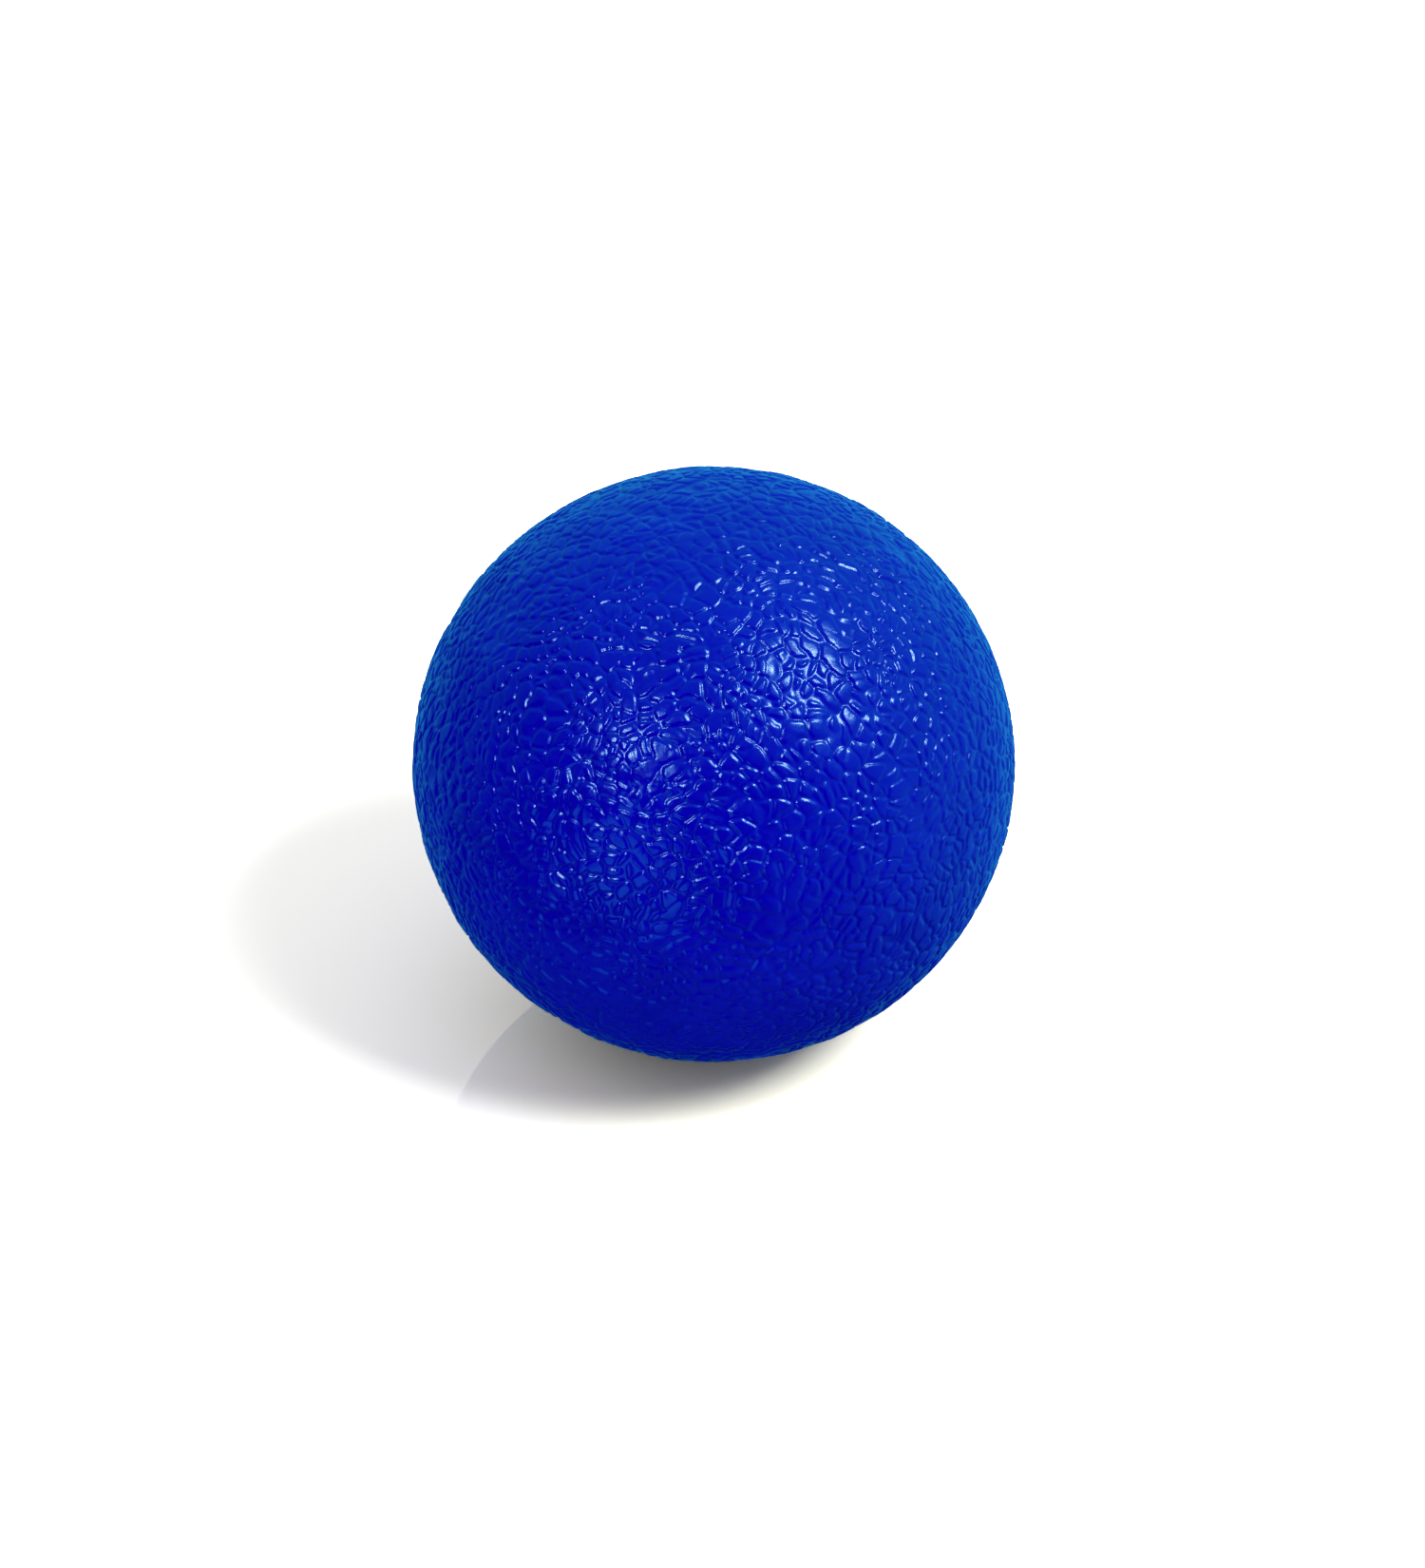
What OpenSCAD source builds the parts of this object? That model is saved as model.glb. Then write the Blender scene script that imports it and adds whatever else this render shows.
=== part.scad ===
// Soft gel-filled stress ball: two bonded cover halves round a plugged bladder of gel.
// The origin is the centre of the flat that the ball rests on, and +Z is up.

/* [Ball] */
// Width of the ball across its middle
ball_d = 65; // [55:1:80]
// Height of the whole spheroid as a share of its width: a soft ball sags a little
sag = 0.984; // [0.95:0.002:1]
// Width of the flat that the ball's own weight presses at its base
rest_d = 12; // [6:0.5:18]

/* [Cover] */
// Thickness of the moulded cover
cover_t = 2; // [1.4:0.1:3]
// Height of the stepped lap on which the two halves are bonded
lap_h = 1.6; // [1:0.1:3]

/* [Bladder] */
// Play left between the bladder and the cover
bladder_play = 0.2; // [0.1:0.05:0.4]
// Thickness of the bladder
bladder_t = 0.8; // [0.5:0.1:1.4]
// Outer width of the filling neck, which stands inside the bladder
neck_d = 11; // [10:0.5:14]
// Height of the filling neck from the bladder's base
neck_h = 9; // [7:0.5:12]

/* [Plug] */
// Width of the plug's stem and of the neck's bore
stem_d = 4.5; // [3:0.25:5.5]
// Width of the plug's head
head_d = 8; // [7:0.25:9]
// Thickness of the plug's head
head_t = 1.4; // [0.8:0.1:2.5]
// Width of the barb that holds the plug in the neck
barb_d = 6.4; // [6:0.1:8]
// Length of the barb
barb_h = 3; // [2:0.25:4]

/* [Hidden] */
$fn = 96;

ball_r = ball_d / 2;
// Height of the ball's middle above the flat, where the two cover halves meet
mid_z = ball_r * sag * sqrt(1 - pow(rest_d / ball_d, 2));
// The lap's step stands half way through the cover's wall
lap_r = ball_r - cover_t / 2;
// How far under the ball's skin the bladder and the gel begin
bladder_in = cover_t + bladder_play;
gel_in = bladder_in + bladder_t;
// The barb's free end is narrower than the stem, so that it leads into the bore
barb_tip_d = stem_d * 0.7;

// The sagged ball with its flat base, shrunk on every side by inset
module ball_shape(inset) {
    difference() {
        translate([0, 0, mid_z])
            scale([1, 1, sag])
                sphere(r = ball_r - inset);
        translate([0, 0, inset - ball_d])
            cylinder(h = ball_d, r = ball_d);
    }
}

// The whole cover, before it is parted at the middle
module cover_shell() {
    difference() {
        ball_shape(0);
        ball_shape(cover_t);
    }
}

// Everything below the parting line, and the tongue that stands inside the upper half
module lower_zone() {
    cylinder(h = mid_z, r = ball_d);
    cylinder(h = mid_z + lap_h, r = lap_r);
}

module cover_lower() {
    color("mediumblue")
        intersection() {
            cover_shell();
            lower_zone();
        }
}

module cover_upper() {
    color("mediumblue")
        difference() {
            cover_shell();
            lower_zone();
        }
}

// Head flush with the bladder's base, stem through the neck, barb beyond its top
module plug_shape() {
    translate([0, 0, bladder_in]) {
        cylinder(h = head_t, d = head_d);
        cylinder(h = neck_h, d = stem_d);
        translate([0, 0, neck_h])
            cylinder(h = barb_h, d1 = barb_d, d2 = barb_tip_d);
    }
}

module neck_shape() {
    translate([0, 0, bladder_in])
        cylinder(h = neck_h, d = neck_d);
}

module bladder() {
    color("whitesmoke")
        difference() {
            union() {
                difference() {
                    ball_shape(bladder_in);
                    ball_shape(gel_in);
                }
                neck_shape();
            }
            plug_shape();
        }
}

module gel_filling() {
    color("lightsteelblue")
        difference() {
            ball_shape(gel_in);
            neck_shape();
            plug_shape();
        }
}

module fill_plug() {
    color("white") plug_shape();
}

cover_lower();
cover_upper();
bladder();
gel_filling();
fill_plug();
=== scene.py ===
import math
from itertools import combinations, product

import bpy
import numpy as np
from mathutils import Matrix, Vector, kdtree


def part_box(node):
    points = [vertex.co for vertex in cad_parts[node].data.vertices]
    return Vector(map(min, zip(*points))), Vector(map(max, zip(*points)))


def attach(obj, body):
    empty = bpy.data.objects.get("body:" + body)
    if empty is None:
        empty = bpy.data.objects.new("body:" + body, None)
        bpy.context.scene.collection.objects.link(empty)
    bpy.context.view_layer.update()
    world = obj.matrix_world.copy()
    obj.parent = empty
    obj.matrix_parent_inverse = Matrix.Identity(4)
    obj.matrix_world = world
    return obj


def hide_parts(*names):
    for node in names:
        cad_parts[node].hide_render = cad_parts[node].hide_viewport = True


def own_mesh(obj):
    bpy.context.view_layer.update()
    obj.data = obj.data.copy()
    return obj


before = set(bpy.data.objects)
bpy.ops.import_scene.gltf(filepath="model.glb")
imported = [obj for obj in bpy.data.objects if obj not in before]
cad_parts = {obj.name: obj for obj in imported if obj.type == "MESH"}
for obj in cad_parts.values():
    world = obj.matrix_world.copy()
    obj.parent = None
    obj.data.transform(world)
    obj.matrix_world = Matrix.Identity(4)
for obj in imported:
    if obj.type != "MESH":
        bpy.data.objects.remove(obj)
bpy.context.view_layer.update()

# Lengths are in millimetres up to the point where a mesh, a lamp or the camera is made.
MM = 0.001


def in_mm(corner):
    return [c / MM for c in corner]


# ---- Sizes, from the frame ----
crown_low, crown_high = map(in_mm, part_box("cover_upper"))
base_high = in_mm(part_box("cover_lower")[1])
bladder_low, bladder_high = map(in_mm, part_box("bladder"))
gel_low, gel_high = map(in_mm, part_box("gel_filling"))
plug_low, plug_high = map(in_mm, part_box("fill_plug"))

BALL_R = (crown_high[0] - crown_low[0]) / 2
MID_Z = crown_low[2]
TOP_Z = crown_high[2]
# The ball's height over its width, before the resting flat is cut
SAG = (TOP_Z - MID_Z) / BALL_R
LAP_TOP = base_high[2]
BLADDER_R = (bladder_high[0] - bladder_low[0]) / 2
GEL_R = (gel_high[0] - gel_low[0]) / 2
HEAD_R = (plug_high[0] - plug_low[0]) / 2
# Between the cover and the bladder
PLAY = 0.2
WALL = BALL_R - BLADDER_R - PLAY
LAP_R = BALL_R - WALL / 2
# Between the two halves of the cover
BOND = 0.02

# ---- Camera ----
VIEW_ELEVATION = math.radians(34)
LENS = 120
SENSOR = 36
# In metres
CLIP_START = 0.01
CLIP_END = 20
# The ball's width and its centre's way from the picture's middle, as shares of the long side
WIDTH_SHARE = 0.3841
RISE_SHARE = 0.0127
SIDE_SHARE = 0.0009


def make_camera():
    data = bpy.data.cameras.new("camera")
    data.lens = LENS
    data.sensor_width = SENSOR
    data.dof.use_dof = False
    camera = bpy.data.objects.new("camera", data)
    bpy.context.scene.collection.objects.link(camera)
    back = Vector((0, -math.cos(VIEW_ELEVATION), math.sin(VIEW_ELEVATION)))
    up = Vector((0, math.sin(VIEW_ELEVATION), math.cos(VIEW_ELEVATION)))
    field = 2 * BALL_R / WIDTH_SHARE
    distance = field * LENS / SENSOR
    aim = Vector((-field * SIDE_SHARE, 0, MID_Z)) - up * (field * RISE_SHARE)
    camera.location = (aim + back * distance) * MM
    camera.rotation_mode = "QUATERNION"
    camera.rotation_quaternion = (-back).to_track_quat("-Z", "Y")
    data.clip_start = CLIP_START
    data.clip_end = CLIP_END
    bpy.context.scene.camera = camera


# ---- Leather grain ----
PEBBLES = 5700
PEBBLE_JITTER = 0.44
PEBBLE_SEED = 11
PEBBLE_DEPTH = 0.165
DEPTH_SPREAD = 0.4
DOME = 0.03
VALLEY_WIDTH = 0.34
WIDTH_SPREAD = 0.08
VALLEY_FADE = 0.15
VALLEYS_LEFT_OUT = 0.12
CREASES = 150
CREASE_JITTER = 0.45
CREASE_SEED = 23
CREASE_DEPTH = 0.12
CREASE_WIDTH = 0.30
CREASE_FADE = 1.2
CREASES_LEFT_OUT = 0.2
CREASE_STRENGTH = 0.6
STRENGTH_SPREAD = 1.4
# The share of a crease's depth that is lost in a valley
LOST_IN_VALLEY = 0.5
# How many of the nearest seeds can make lines at a point
NEAREST = 4
# A line is from NARROWEST to NARROWEST + WIDER times the usual width
NARROWEST = 0.75
WIDER = 0.5
# How sharply lines are left out, so that a few are only shallow
CUT_OFF = 4

# Each noise has a size in millimetres, a seed and a strength
BENDS = ((7.0, 3, 1.3), (1.3, 8, 0.38), (0.6, 12, 0.09))
WAVER = (4.5, 5, 1.0)
SWEEP = (13.0, 1, 4.0)
SWEEP_BEND = 0.5
ROLL = (2.6, 2, 0.09)
RIPPLE = (0.9, 6, 0.012)

# How many random vectors a noise draws
TABLE = 4096
# Keeps the whole numbers of lattice points above 0
LATTICE_SHIFT = 500
# What mixes a lattice point or a pair of seeds into an evenly spread number
MIX_FACTORS = (73856093, 19349663, 83492791)
SEED_FACTOR = 2654435
MIX_SHIFT = 13
PAIR_STEP = 64
PAIR_SHARES = 1021
# The golden angle
GOLDEN_TURN = math.pi * (3 - math.sqrt(5))


def lattice_share(cell, seed):
    """A whole number from 0 to TABLE - 1 for each row of whole numbers."""
    x, y, z = (cell[:, axis] * factor for axis, factor in enumerate(MIX_FACTORS))
    mixed = x ^ y ^ z ^ seed * SEED_FACTOR
    return (mixed ^ (mixed >> MIX_SHIFT)) % TABLE


def noise_at(points, size, seed, strength):
    """Smooth random vectors up to strength, one for each point, that change over about size millimetres."""
    table = np.random.default_rng(seed).uniform(-1, 1, (TABLE, 3))
    scaled = points / size + LATTICE_SHIFT
    cell = np.floor(scaled).astype(np.int64)
    t = scaled - cell
    t = t * t * (3 - 2 * t)
    total = np.zeros_like(points)
    for corner in product((0, 1), repeat=3):
        weight = np.where(corner, t, 1 - t).prod(axis=1)
        total += table[lattice_share(cell + corner, seed)] * weight[:, None]
    return total * strength


def scattered(count, jitter, seed):
    """Points spread unevenly over the ball's sphere."""
    rng = np.random.default_rng(seed)
    z = 1 - (2 * np.arange(count) + 1) / count
    turn = np.arange(count) * GOLDEN_TURN
    ring = np.sqrt(1 - z * z)
    points = np.column_stack([ring * np.cos(turn), ring * np.sin(turn), z])
    points += rng.normal(size=points.shape) * jitter * math.sqrt(4 * math.pi / count)
    return points / np.linalg.norm(points, axis=1)[:, None] * BALL_R


def falling(t):
    """From 1 at 0 to 0 at 1 and beyond, level at both ends."""
    t = np.clip(t, 0, 1)
    return 1 - t * t * (3 - 2 * t)


def share_of_pair(a, b):
    """A number from 0 to 1 that belongs to two seeds, in either order."""
    low, high = np.minimum(a, b), np.maximum(a, b)
    mixed = (low * MIX_FACTORS[0]) ^ (high * MIX_FACTORS[1])
    return (mixed // PAIR_STEP % PAIR_SHARES) / PAIR_SHARES


def cells(points, seeds):
    """For each point, its nearest seeds and how far they are."""
    tree = kdtree.KDTree(len(seeds))
    for n, seed in enumerate(seeds):
        tree.insert(seed, n)
    tree.balance()
    found = [tree.find_n(p, NEAREST) for p in points]
    nearest = np.array([[hit[1] for hit in row] for row in found])
    far = np.array([[hit[2] for hit in row] for row in found])
    return nearest, far


def valleys(cell, far, seeds, width, fade, left_out):
    """1 on the lines between the seeds' cells and 0 away from them. left_out is the share without a line."""
    open_ground = np.ones(len(far))
    for i, j in combinations(range(cell.shape[1]), 2):
        apart = np.linalg.norm(seeds[cell[:, i]] - seeds[cell[:, j]], axis=1)
        across = (far[:, j] - far[:, i]) / 2 * np.sqrt((far[:, i] + far[:, j]) / apart)
        beside = (far[:, i] - far[:, 0]) / 2
        share = share_of_pair(cell[:, i], cell[:, j])
        kept = np.clip((share - left_out) * CUT_OFF, 0, 1)
        reach = width * (NARROWEST + WIDER * share)
        open_ground *= 1 - falling(across / reach) * falling(beside / fade) * kept
    return 1 - open_ground


def grain(points):
    """The skin's height over the smooth ball, in millimetres: pebbles, creases and undulation."""
    bend = sum(noise_at(points, *each) for each in BENDS)
    waver = noise_at(points, *WAVER)
    seeds = scattered(PEBBLES, PEBBLE_JITTER, PEBBLE_SEED)
    cell, far = cells(points + bend, seeds)
    width = VALLEY_WIDTH + WIDTH_SPREAD * waver[:, 0]
    pebbles = valleys(cell, far, seeds, width, VALLEY_FADE, VALLEYS_LEFT_OUT)
    sweep = noise_at(points, *SWEEP) + bend * SWEEP_BEND
    folds = scattered(CREASES, CREASE_JITTER, CREASE_SEED)
    crease_cell, crease_far = cells(points + sweep, folds)
    creases = valleys(crease_cell, crease_far, folds, CREASE_WIDTH, CREASE_FADE, CREASES_LEFT_OUT)
    creases *= np.clip(CREASE_STRENGTH + STRENGTH_SPREAD * waver[:, 2], 0, 1)
    rolling = noise_at(points, *ROLL)[:, 0] + noise_at(points, *RIPPLE)[:, 1] - DOME * far[:, 0] ** 2
    depth = PEBBLE_DEPTH * (1 + DEPTH_SPREAD * waver[:, 1])
    return rolling - depth * pebbles - CREASE_DEPTH * creases * (1 - LOST_IN_VALLEY * pebbles)


# ---- Meshes ----
GRID = 400
INNER_GRID = GRID // 5
# How softly the skin and its lining turn into the resting flat
SKIN_BLEND = 0.25
LINING_BLEND = 0.1
# A row of points this near the axis is one point
ON_AXIS = 1e-6


def half_sphere(n):
    """Directions and quads of a half sphere, as a cube's top and the upper halves of its sides.

    The last 4n points are the equator.
    """
    steps = np.tan(np.linspace(-1, 1, n + 1) * math.pi / 4)
    x, y = np.meshgrid(steps, steps)
    top = np.stack([x, y, np.ones_like(x)], -1).reshape(-1, 3)
    at = np.arange((n + 1) ** 2).reshape(n + 1, n + 1)
    loop = np.concatenate([at[0, :-1], at[:-1, -1], at[-1, :0:-1], at[:0:-1, 0]])
    quads = [np.stack([at[:-1, :-1], at[:-1, 1:], at[1:, 1:], at[1:, :-1]], -1).reshape(-1, 4)]
    points = [top]
    rim = top[loop, :2]
    for row in np.tan(np.linspace(1, 0, n // 2 + 1)[1:] * math.pi / 4):
        below = np.arange(4 * n) + sum(map(len, points))
        points.append(np.column_stack([rim, np.full(4 * n, row)]))
        quads.append(np.stack([loop, below, np.roll(below, -1), np.roll(loop, -1)], -1))
        loop = below
    points = np.vstack(points)
    return points / np.linalg.norm(points, axis=1)[:, None], np.vstack(quads)


def ring_faces(upper, lower):
    """Triangles from a fine ring of points to a coarser or equal one."""
    step = len(upper) // len(lower)
    faces = []
    for n, (here, ahead) in enumerate(zip(lower, np.roll(lower, -1))):
        fine = [upper[(n * step + k) % len(upper)] for k in range(step + 1)]
        turn = step // 2
        faces += [(a, here, b) for a, b in zip(fine[:turn], fine[1:turn + 1])]
        faces.append((fine[turn], here, ahead))
        faces += [(a, ahead, b) for a, b in zip(fine[turn:], fine[turn + 1:])]
    return np.array(faces)


def smooth_floor(z, floor, blend):
    """z, but never much below floor, with a soft edge."""
    return floor + ((z - floor) + np.sqrt((z - floor) ** 2 + blend ** 2)) / 2


def spheroid(directions, inset):
    """Points of the ball's shape, shrunk by inset, about its middle."""
    r = BALL_R - inset
    return directions * (r, r, r * SAG)


def skin(directions):
    """The grained outer surface."""
    height = grain(directions * BALL_R)
    points = spheroid(directions, 0)
    outward = directions * (1, 1, 1 / SAG)
    outward /= np.linalg.norm(outward, axis=1)[:, None]
    base = points[:, 2] + MID_Z
    points = points + outward * height[:, None]
    points[:, 2] += MID_Z
    pressed = smooth_floor(base, 0.0, SKIN_BLEND)
    points[:, 2] += pressed - base
    points[:, 2] = np.maximum(points[:, 2], 0)
    return points


def lining(directions, side, end_z, inset):
    """The smooth inner surface of a half, from its pole to the height end_z."""
    r = BALL_R - inset
    reach = math.acos(side * (end_z - MID_Z) / (r * SAG))
    polar = np.arccos(np.clip(directions[:, 2], -1, 1)) * reach / (math.pi / 2)
    turn = np.arctan2(directions[:, 1], directions[:, 0])
    ring = np.sin(polar)
    bent = np.column_stack([ring * np.cos(turn), ring * np.sin(turn), side * np.cos(polar)])
    points = spheroid(bent, inset)
    points[:, 2] = smooth_floor(points[:, 2] + MID_Z, inset, LINING_BLEND)
    return points


def mesh_object(name, points, faces, sharp=()):
    """One smooth-shaded object.

    faces is a list of arrays of quads or triangles, and sharp lists rings of points with hard edges.
    """
    mesh = bpy.data.meshes.new(name)
    mesh.from_pydata((points * MM).tolist(), [], [f for group in faces for f in group.tolist()])
    mesh.shade_smooth()
    ends = np.empty(len(mesh.edges) * 2, np.int32)
    mesh.edges.foreach_get("vertices", ends)
    ends = ends.reshape(-1, 2)
    hard = np.zeros(len(ends), bool)
    for ring in sharp:
        hard |= np.isin(ends, ring).all(axis=1)
    mesh.attributes.new("sharp_edge", "BOOLEAN", "EDGE").data.foreach_set("value", hard)
    rest = mesh.attributes.new("rest_place", "FLOAT_VECTOR", "POINT")
    rest.data.foreach_set("vector", points.astype(np.float32).ravel())
    made = bpy.data.objects.new(name, mesh)
    bpy.context.scene.collection.objects.link(made)
    return made


def cover_half(name, side):
    """A half of the cover: side is 1 for the upper one and -1 for the lower one.

    Their stepped lap is in the middle of the wall, and the lower half's tongue is inside.
    """
    directions, quads = half_sphere(GRID)
    directions = directions * (1, 1, side)
    outer = skin(directions)
    shift = side * BOND / 2
    rim = np.arange(len(outer) - 4 * GRID, len(outer))
    outer[rim, 2] = MID_Z + shift
    inner_directions, inner_quads = half_sphere(INNER_GRID)
    end_z = LAP_TOP + shift
    inner = lining(inner_directions, side, end_z, WALL)
    count = 4 * INNER_GRID
    turn = np.arctan2(inner[-count:, 1], inner[-count:, 0])
    step_r = LAP_R + shift
    rings = [
        np.column_stack([step_r * np.cos(turn), step_r * np.sin(turn), np.full(count, z)])
        for z in (MID_Z + shift, end_z)
    ]
    points = np.vstack([outer, *rings, inner])
    first = len(outer)
    low, high = np.arange(first, first + count), np.arange(first + count, first + 2 * count)
    inner_rim = np.arange(len(points) - count, len(points))
    faces = [
        quads,
        ring_faces(rim, low),
        ring_faces(low, high),
        ring_faces(high, inner_rim),
        inner_quads[:, ::-1] + first + 2 * count,
    ]
    if side < 0:
        faces = [group[:, ::-1] for group in faces]
    return mesh_object(name, points, faces, (rim, low, high, inner_rim))


def lathe(name, profile, segments, sharp_rows=()):
    """A solid of revolution from (radius, height) rows that start and end on the axis."""
    turn = np.arange(segments) * 2 * math.pi / segments
    points, faces, rows = [], [], []
    for r, z in profile:
        first = sum(map(len, points))
        on_axis = r < ON_AXIS
        count = 1 if on_axis else segments
        rows.append(np.arange(first, first + count))
        around = turn[:count]
        points.append(np.column_stack([r * np.cos(around), r * np.sin(around), np.full(count, z)]))
    for a, b in zip(rows, rows[1:]):
        if len(a) == 1:
            faces.append(np.column_stack([np.repeat(a, segments), b, np.roll(b, -1)]))
        elif len(b) == 1:
            faces.append(np.column_stack([a, np.repeat(b, segments), np.roll(a, -1)]))
        else:
            faces.append(np.column_stack([a, b, np.roll(b, -1), np.roll(a, -1)]))
    return mesh_object(name, np.vstack(points), faces, [rows[n] for n in sharp_rows])


# ---- Pieces inside ----
# The filling neck and the plug's stem, head and barb, as on the CAD solids
NECK_R = 5.5
NECK_H = 9
NECK_TOP = bladder_low[2] + NECK_H
STEM_R = 2.25
HEAD_T = 1.4
BARB_R = 3.2
BARB_TIP_R = STEM_R * 0.7
PLUG_EDGE = 0.3
LATHE_TURNS = 128
WALL_ROWS = 64
# Between the bladder and the gel
SKIN_GAP = 0.05
# The line that the bladder's mould leaves around its middle
FLASH_HEIGHT = 0.12
FLASH_HALF = 0.35
FLASH_ROWS = 9


def bowl_rows(inset, from_r, downward, flash=0.0):
    """Rows of the ball's shape shrunk by inset, from its top on the axis to from_r on its flat base.

    flash is the height of the mould line around the middle.
    """
    r = BALL_R - inset
    flat = inset
    lowest = math.acos(max(-1.0, (flat - MID_Z) / (r * SAG)))
    across = np.linspace(-1, 1, FLASH_ROWS)
    beside = math.pi / 2 + across * FLASH_HALF / r
    polar = np.linspace(0, lowest, WALL_ROWS)
    polar = polar[abs(polar - math.pi / 2) > FLASH_HALF / r]
    polar = np.sort(np.concatenate([polar, beside]))
    out = r + flash * falling(abs(polar - math.pi / 2) * r / FLASH_HALF)
    rows = [(d * math.sin(a), MID_Z + d * SAG * math.cos(a)) for a, d in zip(polar, out)]
    rows[0] = (0.0, rows[0][1])
    rows.append((from_r, flat))
    return rows if downward else rows[::-1]


def make_bladder():
    outer = bowl_rows(BALL_R - BLADDER_R, HEAD_R, True, FLASH_HEIGHT)
    inner = bowl_rows(BALL_R - GEL_R, NECK_R, False)
    low = bladder_low[2]
    neck = [
        (HEAD_R, low + HEAD_T),
        (STEM_R, low + HEAD_T),
        (STEM_R, NECK_TOP),
        (NECK_R, NECK_TOP),
    ]
    sharp = range(len(outer) - 1, len(outer + neck) + 1)
    return lathe("bladder_skin", outer + neck + inner, LATHE_TURNS, sharp)


def make_gel():
    outer = bowl_rows(BALL_R - GEL_R + SKIN_GAP, NECK_R + SKIN_GAP, True)
    well = [
        (NECK_R + SKIN_GAP, NECK_TOP + SKIN_GAP),
        (BARB_R + SKIN_GAP, NECK_TOP + SKIN_GAP),
        (BARB_TIP_R + SKIN_GAP, plug_high[2] + SKIN_GAP),
        (0.0, plug_high[2] + SKIN_GAP),
    ]
    sharp = range(len(outer) - 1, len(outer + well) - 1)
    return lathe("gel_core", outer + well, LATHE_TURNS, sharp)


def make_plug():
    low, high = plug_low[2], plug_high[2]
    edge = PLUG_EDGE
    profile = [
        (0.0, high),
        (BARB_TIP_R - edge, high),
        (BARB_TIP_R, high - edge),
        (BARB_R, NECK_TOP + edge),
        (BARB_R - edge, NECK_TOP),
        (STEM_R, NECK_TOP),
        (STEM_R, low + HEAD_T),
        (HEAD_R - edge, low + HEAD_T),
        (HEAD_R, low + HEAD_T - edge),
        (HEAD_R, low + edge),
        (HEAD_R - edge, low),
        (0.0, low),
    ]
    return lathe("neck_plug", profile, LATHE_TURNS, range(1, len(profile) - 1))


# ---- Materials ----
PLASTIC_IOR = 1.5
# What a noise node's values mostly lie between
NOISE_LOW = 0.3
NOISE_HIGH = 0.7


def noise_node(tree, place, scale, detail, roughness=0.5):
    """Noise with scale features in a millimetre."""
    node = tree.nodes.new("ShaderNodeTexNoise")
    node.inputs["Scale"].default_value = scale
    node.inputs["Detail"].default_value = detail
    node.inputs["Roughness"].default_value = roughness
    tree.links.new(place, node.inputs["Vector"])
    return node.outputs["Fac"]


def ranged(tree, value, low, high):
    """A noise's value, spread from low to high."""
    node = tree.nodes.new("ShaderNodeMapRange")
    node.inputs["From Min"].default_value = NOISE_LOW
    node.inputs["From Max"].default_value = NOISE_HIGH
    node.inputs["To Min"].default_value = low
    node.inputs["To Max"].default_value = high
    tree.links.new(value, node.inputs["Value"])
    return node.outputs["Result"]


def two_colours(tree, share, first, second):
    """From first to second as share goes from 0 to 1. Each is a colour or another node's output."""
    node = tree.nodes.new("ShaderNodeMix")
    node.data_type = "RGBA"
    for socket, colour in (("A", first), ("B", second)):
        if isinstance(colour, tuple):
            node.inputs[socket].default_value = (*colour, 1)
        else:
            tree.links.new(colour, node.inputs[socket])
    tree.links.new(share, node.inputs["Factor"])
    return node.outputs["Result"]


def bump(tree, shader, height, depth):
    """A relief of depth millimetres in the shader's surface."""
    node = tree.nodes.new("ShaderNodeBump")
    node.inputs["Distance"].default_value = depth * MM
    tree.links.new(height, node.inputs["Height"])
    tree.links.new(node.outputs["Normal"], shader.inputs["Normal"])


def mottled(name, colours, patches, gloss, gloss_noise, depth, relief):
    """A material that runs between two colours and, in gloss, between two roughnesses, with a fine relief.

    patches, gloss_noise and relief are noises: features in a millimetre, detail and, if given, roughness.
    """
    made = bpy.data.materials.new(name)
    made.use_nodes = True
    tree = made.node_tree
    shader = tree.nodes["Principled BSDF"]
    shader.inputs["IOR"].default_value = PLASTIC_IOR
    rest_place = tree.nodes.new("ShaderNodeAttribute")
    rest_place.attribute_name = "rest_place"
    place = rest_place.outputs["Vector"]
    colour = two_colours(tree, ranged(tree, noise_node(tree, place, *patches), 0, 1), *colours)
    tree.links.new(colour, shader.inputs["Base Color"])
    roughness = ranged(tree, noise_node(tree, place, *gloss_noise), *gloss)
    tree.links.new(roughness, shader.inputs["Roughness"])
    bump(tree, shader, noise_node(tree, place, *relief), depth)
    return made


def cover_material():
    return mottled(
        "blue_grained_vinyl",
        colours=((0.004, 0.0038, 0.282), (0.005, 0.0056, 0.313)),
        patches=(0.12, 3),
        gloss=(0.12, 0.18),
        gloss_noise=(0.9, 4),
        depth=0.018,
        relief=(2.2, 4, 0.55),
    )


def bladder_material():
    return mottled(
        "milky_rubber",
        colours=((0.80, 0.80, 0.74), (0.88, 0.88, 0.84)),
        patches=(0.2, 3),
        gloss=(0.3, 0.42),
        gloss_noise=(1.0, 3),
        depth=0.03,
        relief=(2.0, 3),
    )


def gel_material():
    return mottled(
        "clear_gel",
        colours=((0.50, 0.66, 0.84), (0.66, 0.78, 0.92)),
        patches=(0.15, 4),
        gloss=(0.05, 0.12),
        gloss_noise=(0.4, 2),
        depth=0.2,
        relief=(0.25, 3),
    )


def plug_material():
    return mottled(
        "white_rubber",
        colours=((0.80, 0.80, 0.79), (0.88, 0.88, 0.87)),
        patches=(0.5, 3),
        gloss=(0.4, 0.55),
        gloss_noise=(2.0, 3),
        depth=0.02,
        relief=(4.0, 3),
    )


def place_piece(piece, node, body, made_of):
    """Ties a piece to its node and body."""
    piece.data.materials.append(made_of)
    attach(piece, body)
    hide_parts(node)
    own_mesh(piece)
    return piece


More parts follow.
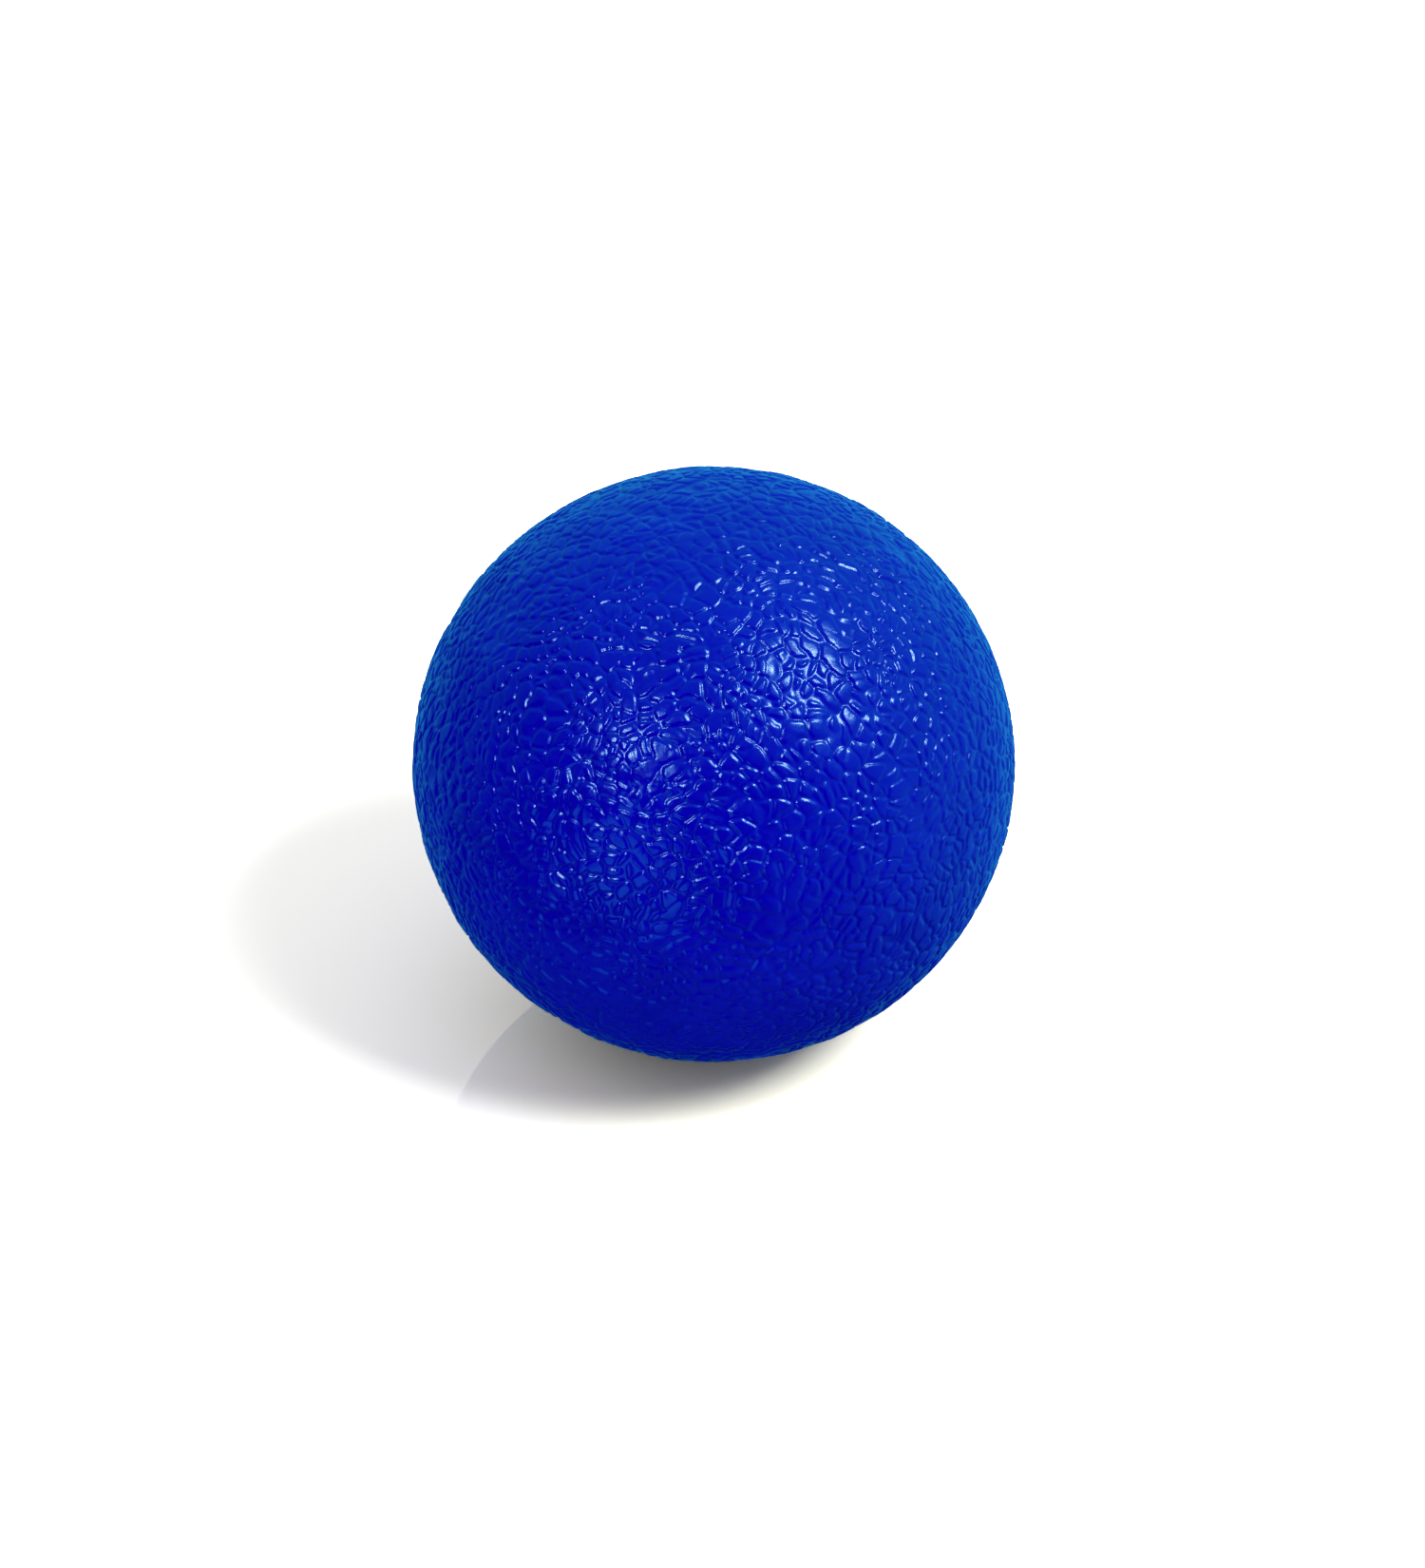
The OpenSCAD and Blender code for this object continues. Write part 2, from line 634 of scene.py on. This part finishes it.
def make_ball():
    vinyl = cover_material()
    return [
        place_piece(cover_half("cover_crown", 1), "cover_upper", "crown", vinyl),
        place_piece(cover_half("cover_base", -1), "cover_lower", "base", vinyl),
        place_piece(make_bladder(), "bladder", "base", bladder_material()),
        place_piece(make_gel(), "gel_filling", "base", gel_material()),
        place_piece(make_plug(), "fill_plug", "base", plug_material()),
    ]


# ---- Studio, in metres ----
WHITE = (1, 1, 1)
# The lights are cool, and the table's colour makes up for it where it is seen
COOL = (0.2, 0.6, 1.0)
HALO_TINT = (0.02, 0.6, 1.0)
CORE_TINT = (0.55, 0.88, 1.0)

FLOOR_HALF = 3.0
TABLE_IOR = 2.0
# The table's colour for the light that it passes on, and for the camera
DIM_TABLE = (0.8, 0.8, 0.8)
BRIGHT_TABLE = (1.63 / COOL[0], 1.625 / COOL[1], 1.55)
# Close to the ball its blue light bounces onto the table, so there the table's colour is painted with less
# blue to cancel that bounced light
BOUNCE_CANCEL_TABLE = (BRIGHT_TABLE[0], BRIGHT_TABLE[1], 0.7 * BRIGHT_TABLE[2])
BOUNCE_CANCEL_FROM = 0.038
BOUNCE_CANCEL_TO = 0.005
# Where the table fades to white
FADE_FROM = 0.4
FADE_TO = 0.9

LAMP_DISTANCE = 0.6
KEY_WAY = (0.565, -0.217, 0.797)
SHADOW_WAY = (0.570, -0.320, 0.757)
FILL_WAY = (-0.466, -0.654, 0.608)
# Each lamp's name, the way to it, the length of its side, and how bright a white sheet that faces it is,
# where 1 is the picture's white. key lights everything, table_key the table only, and fill the ball only.
MATT_LAMPS = (
    ("key", SHADOW_WAY, 0.25, 0.75),
    ("table_key", SHADOW_WAY, 0.22, 0.55),
    ("fill", FILL_WAY, 0.16, 0.53),
)
# The same, with the lamp's colour. Only what mirrors them shows these.
GLOSS_LAMPS = (
    ("key_halo", KEY_WAY, 0.42, 0.15, HALO_TINT),
    ("key_shine", KEY_WAY, 0.26, 0.75, HALO_TINT),
    ("key_core", KEY_WAY, 0.13, 1.25, CORE_TINT),
    ("fill_shine", FILL_WAY, 0.20, 0.28, HALO_TINT),
    ("fill_core", FILL_WAY, 0.09, 0.62, CORE_TINT),
)

# The room on matt surfaces is brighter at the back
ROOM_ON_SHEET = 0.62
MATT_SLOPE = (0, 0.28, 0)
# The room in what the gloss mirrors: its colour, its strength, and how that grows along each axis
ROOM_TINT = (0.06, 1.0, 2.0)
ROOM_LEVEL = 0.17
ROOM_SLOPE = (0.19, 0.36, 0.04)
# A soft bright patch in it, low at the front left
PATCH_WAY = (-0.512, -0.828, -0.229)
PATCH_LEVEL = 0.9
PATCH_OUTER = math.cos(math.radians(26))
PATCH_INNER = math.cos(math.radians(8))
# How far down a direction points where the mirrored room is dark, and where it no longer is
UNDER_DARK = -1.0
UNDER_LIT = -0.4


def worked_out(tree, operation, first, second, third=0.0):
    """A Math node's result. Each value is a number or another node's output."""
    node = tree.nodes.new("ShaderNodeMath")
    node.operation = operation
    for socket, value in zip(node.inputs, (first, second, third)):
        if isinstance(value, float):
            socket.default_value = value
        else:
            tree.links.new(value, socket)
    return node.outputs[0]


def smooth_step(tree, value, low, high):
    """0 where value is low and 1 where it is high, with a smooth change between them."""
    node = tree.nodes.new("ShaderNodeMapRange")
    node.interpolation_type = "SMOOTHSTEP"
    node.inputs["From Min"].default_value = low
    node.inputs["From Max"].default_value = high
    tree.links.new(value, node.inputs["Value"])
    return node.outputs["Result"]


def along(tree, direction, way):
    """The cosine between a direction and a fixed way."""
    node = tree.nodes.new("ShaderNodeVectorMath")
    node.operation = "DOT_PRODUCT"
    tree.links.new(direction, node.inputs[0])
    node.inputs[1].default_value = way
    return node.outputs["Value"]


def background(tree, colour, strength):
    node = tree.nodes.new("ShaderNodeBackground")
    node.inputs["Color"].default_value = (*colour, 1)
    if isinstance(strength, float):
        node.inputs["Strength"].default_value = strength
    else:
        tree.links.new(strength, node.inputs["Strength"])
    return node


def either(tree, share, first, second):
    """The first shader node where share is 0, and the second where it is 1."""
    node = tree.nodes.new("ShaderNodeMixShader")
    tree.links.new(share, node.inputs["Fac"])
    tree.links.new(first.outputs[0], node.inputs[1])
    tree.links.new(second.outputs[0], node.inputs[2])
    return node


def from_ball(tree):
    """How far a point of the table is from the middle of the ball's flat."""
    away = tree.nodes.new("ShaderNodeVectorMath")
    away.operation = "LENGTH"
    tree.links.new(tree.nodes.new("ShaderNodeNewGeometry").outputs["Position"], away.inputs[0])
    return away.outputs["Value"]


def table_material():
    """A mirror-smooth gloss over a matt white, which fades to plain white far from the ball."""
    made = bpy.data.materials.new("white_table")
    made.use_nodes = True
    tree = made.node_tree
    nodes, links = tree.nodes, tree.links
    nodes.remove(nodes["Principled BSDF"])
    to_eye = nodes.new("ShaderNodeLightPath").outputs["Is Camera Ray"]
    away = from_ball(tree)
    # Painted: near the ball the table's seen colour loses blue, to cancel the blue light that the ball
    # bounces onto it
    seen = two_colours(tree, smooth_step(tree, away, BOUNCE_CANCEL_FROM, BOUNCE_CANCEL_TO), BRIGHT_TABLE, BOUNCE_CANCEL_TABLE)
    matt = nodes.new("ShaderNodeBsdfDiffuse")
    links.new(two_colours(tree, to_eye, DIM_TABLE, seen), matt.inputs["Color"])
    mirror = nodes.new("ShaderNodeBsdfGlossy")
    mirror.inputs["Roughness"].default_value = 0
    fresnel = nodes.new("ShaderNodeFresnel")
    fresnel.inputs["IOR"].default_value = TABLE_IOR
    table = either(tree, fresnel.outputs[0], matt, mirror)
    faded = worked_out(tree, "MULTIPLY", smooth_step(tree, away, FADE_FROM, FADE_TO), to_eye)
    shown = either(tree, faded, table, nodes.new("ShaderNodeEmission"))
    links.new(shown.outputs[0], nodes["Material Output"].inputs["Surface"])
    return made


def make_floor():
    h = FLOOR_HALF
    mesh = bpy.data.meshes.new("floor")
    mesh.from_pydata([(-h, -h, 0), (h, -h, 0), (h, h, 0), (-h, h, 0)], [], [(0, 1, 2, 3)])
    mesh.materials.append(table_material())
    floor = bpy.data.objects.new("floor", mesh)
    bpy.context.scene.collection.objects.link(floor)
    floor.visible_glossy = False
    return floor


def make_lamp(name, way, side, on_sheet, colour, in_gloss):
    """A square lamp that faces the ball's middle, and shows either in gloss or on matt surfaces."""
    data = bpy.data.lights.new(name, "AREA")
    data.shape = "SQUARE"
    data.size = side
    data.energy = on_sheet * (math.pi * LAMP_DISTANCE) ** 2
    data.color = colour
    lamp = bpy.data.objects.new(name, data)
    bpy.context.scene.collection.objects.link(lamp)
    way = Vector(way).normalized()
    lamp.location = Vector((0, 0, MID_Z * MM)) + way * LAMP_DISTANCE
    lamp.rotation_mode = "QUATERNION"
    lamp.rotation_quaternion = way.to_track_quat("Z", "Y")
    lamp.visible_camera = False
    lamp.visible_glossy = in_gloss
    lamp.visible_diffuse = not in_gloss
    return lamp


def light_only(lamp, lit):
    """Keeps a lamp's light to some objects."""
    group = bpy.data.collections.new(lamp.name + " lights")
    for each in lit:
        group.objects.link(each)
    lamp.light_linking.receiver_collection = group


def make_lamps(ball, floor):
    lit = {"table_key": [floor], "fill": ball}
    for name, way, side, on_sheet in MATT_LAMPS:
        lamp = make_lamp(name, way, side, on_sheet, COOL, False)
        if name in lit:
            light_only(lamp, lit[name])
    for name, way, side, on_sheet, tint in GLOSS_LAMPS:
        make_lamp(name, way, side, on_sheet, tint, True)


def make_world():
    """White to the eye and dim on matt surfaces, with a deep blue in what the gloss mirrors."""
    world = bpy.data.worlds.new("studio")
    bpy.context.scene.world = world
    world.use_nodes = True
    # Only a ray that leaves the scene reads the world, so that each kind of ray reads its own
    world.cycles.sampling_method = "NONE"
    tree = world.node_tree
    way = tree.nodes.new("ShaderNodeTexCoord").outputs["Generated"]
    slope = worked_out(tree, "ADD", along(tree, way, ROOM_SLOPE), ROOM_LEVEL)
    patch = smooth_step(tree, along(tree, way, PATCH_WAY), PATCH_OUTER, PATCH_INNER)
    slope = worked_out(tree, "MULTIPLY_ADD", patch, PATCH_LEVEL, slope)
    under = smooth_step(tree, along(tree, way, (0, 0, 1)), UNDER_DARK, UNDER_LIT)
    mirrored = background(tree, ROOM_TINT, worked_out(tree, "MULTIPLY", slope, under))
    path = tree.nodes.new("ShaderNodeLightPath")
    seen = background(tree, WHITE, 1.0)
    level = worked_out(tree, "ADD", along(tree, way, MATT_SLOPE), ROOM_ON_SHEET)
    on_matt = background(tree, COOL, level)
    shown = either(tree, path.outputs["Is Diffuse Ray"], seen, on_matt)
    rough = worked_out(tree, "SUBTRACT", path.outputs["Is Glossy Ray"], path.outputs["Is Singular Ray"])
    shown = either(tree, rough, shown, mirrored)
    tree.links.new(shown.outputs[0], tree.nodes["World Output"].inputs["Surface"])


make_camera()
ball = make_ball()
floor = make_floor()
make_lamps(ball, floor)
make_world()
bpy.context.scene.view_settings.view_transform = "Standard"
